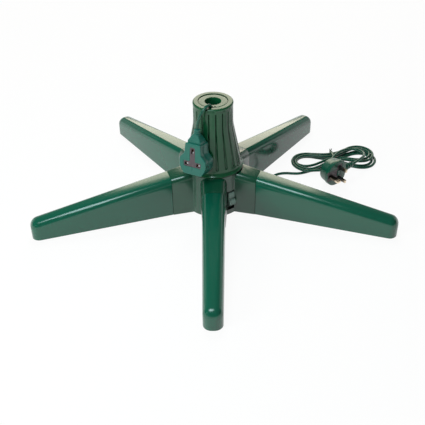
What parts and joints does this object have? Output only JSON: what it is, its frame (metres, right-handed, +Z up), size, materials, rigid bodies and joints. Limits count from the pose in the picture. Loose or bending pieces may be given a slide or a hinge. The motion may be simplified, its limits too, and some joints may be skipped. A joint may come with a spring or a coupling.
{
  "type": "rotating christmas tree stand",
  "caption": "Five-legged stand whose fluted column turns on a motorised hub and holds a tree's pole, with a trailing lead socket on a short flex and a mains cord with plug.",
  "frame": {"origin": "on the floor, on the axis about which the column turns", "axes": "+Z up along the turning axis, out of the pole bore; -Y along the front leg; +X to the right as the front leg points at the viewer"},
  "size_m": [0.6152, 0.5839, 0.2081],
  "materials": {
    "housing_green": "gloss",
    "cord_green": "satin",
    "insert_brown": "satin",
    "grey_green": "gloss",
    "dark_plastic": "matte",
    "nylon": "matte",
    "brass": "satin",
    "steel": "satin",
    "zinc": "satin"
  },
  "bodies": {
    "base": {"hub_housing": "housing_green", "base_plate": "dark_plastic", "base_screws": "zinc", "gear_plate": "steel", "gear_plate_screws": "zinc", "lower_bush": "nylon", "motor_body": "zinc", "motor_screws": "zinc", "contact_block": "nylon", "contact_finger_live": "brass", "contact_finger_neutral": "brass", "contact_finger_earth": "brass", "lower_race": "steel", "switch_bezel": "dark_plastic", "switch_body": "dark_plastic", "cord_gland": "cord_green", "mains_cord": "cord_green", "mains_hank": "cord_green", "cord_tie": "cord_green", "plug_cord": "cord_green", "plug_boot": "cord_green", "plug_body": "cord_green", "plug_insert": "insert_brown", "plug_pins": "brass", "pin_sleeves": "dark_plastic", "fuse_carrier": "cord_green"},
    "column": {"rotor_base": "housing_green", "rotor_screws": "zinc", "column_shell": "housing_green", "pole_socket": "zinc", "drive_gear": "nylon", "slip_ring_carrier": "dark_plastic", "slip_ring_live": "brass", "slip_ring_neutral": "brass", "slip_ring_earth": "brass", "upper_race": "steel", "riser_flex": "cord_green", "socket_flex": "cord_green", "socket_boot": "cord_green", "socket_front": "cord_green", "socket_back": "cord_green", "socket_insert": "insert_brown", "socket_contacts": "brass", "socket_screw": "zinc"},
    "pinion": {"motor_shaft": "steel", "drive_pinion": "brass"},
    "bearing": {"bearing_balls": "steel", "bearing_cage": "nylon"},
    "adapter": {"pole_adapter": "housing_green"},
    "rocker": {"switch_rocker": "grey_green"},
    "front_leg": {"leg_front": "housing_green"},
    "front_right_leg": {"leg_front_right": "housing_green"},
    "back_right_leg": {"leg_back_right": "housing_green"},
    "back_left_leg": {"leg_back_left": "housing_green"},
    "front_left_leg": {"leg_front_left": "housing_green"}
  },
  "joints": [
    {"name": "column_spin", "type": "hinge", "parent": "base", "child": "column", "pos_m": [0, 0, 0.0842], "axis": [0, 0, 1], "continuous": true},
    {"name": "pinion_spin", "type": "hinge", "parent": "base", "child": "pinion", "pos_m": [-0.03234, 0.01051, 0.04], "axis": [0, 0, 1], "continuous": true},
    {"name": "bearing_spin", "type": "hinge", "parent": "base", "child": "bearing", "pos_m": [0, 0, 0.0842], "axis": [0, 0, 1], "continuous": true},
    {"name": "adapter_lift", "type": "slide", "parent": "column", "child": "adapter", "axis": [0, 0, 1], "range_m": [0, 0.08]},
    {"name": "rocker_press", "type": "hinge", "parent": "base", "child": "rocker", "pos_m": [0.02763, -0.03802, 0.034], "axis": [0.809, 0.5878, 0], "range_deg": [0, 30]},
    {"name": "front_leg_pull", "type": "slide", "parent": "base", "child": "front_leg", "axis": [0, -1, 0], "range_m": [0, 0.03]},
    {"name": "front_right_leg_pull", "type": "slide", "parent": "base", "child": "front_right_leg", "axis": [0.9511, -0.309, 0], "range_m": [0, 0.03]},
    {"name": "back_right_leg_pull", "type": "slide", "parent": "base", "child": "back_right_leg", "axis": [0.5878, 0.809, 0], "range_m": [0, 0.03]},
    {"name": "back_left_leg_pull", "type": "slide", "parent": "base", "child": "back_left_leg", "axis": [-0.5878, 0.809, 0], "range_m": [0, 0.03]},
    {"name": "front_left_leg_pull", "type": "slide", "parent": "base", "child": "front_left_leg", "axis": [-0.9511, -0.309, 0], "range_m": [0, 0.03]}
  ],
  "couplings": [
    {"joint": "pinion_spin", "follows": "column_spin", "ratio": -3.25},
    {"joint": "bearing_spin", "follows": "column_spin", "ratio": 0.5}
  ]
}
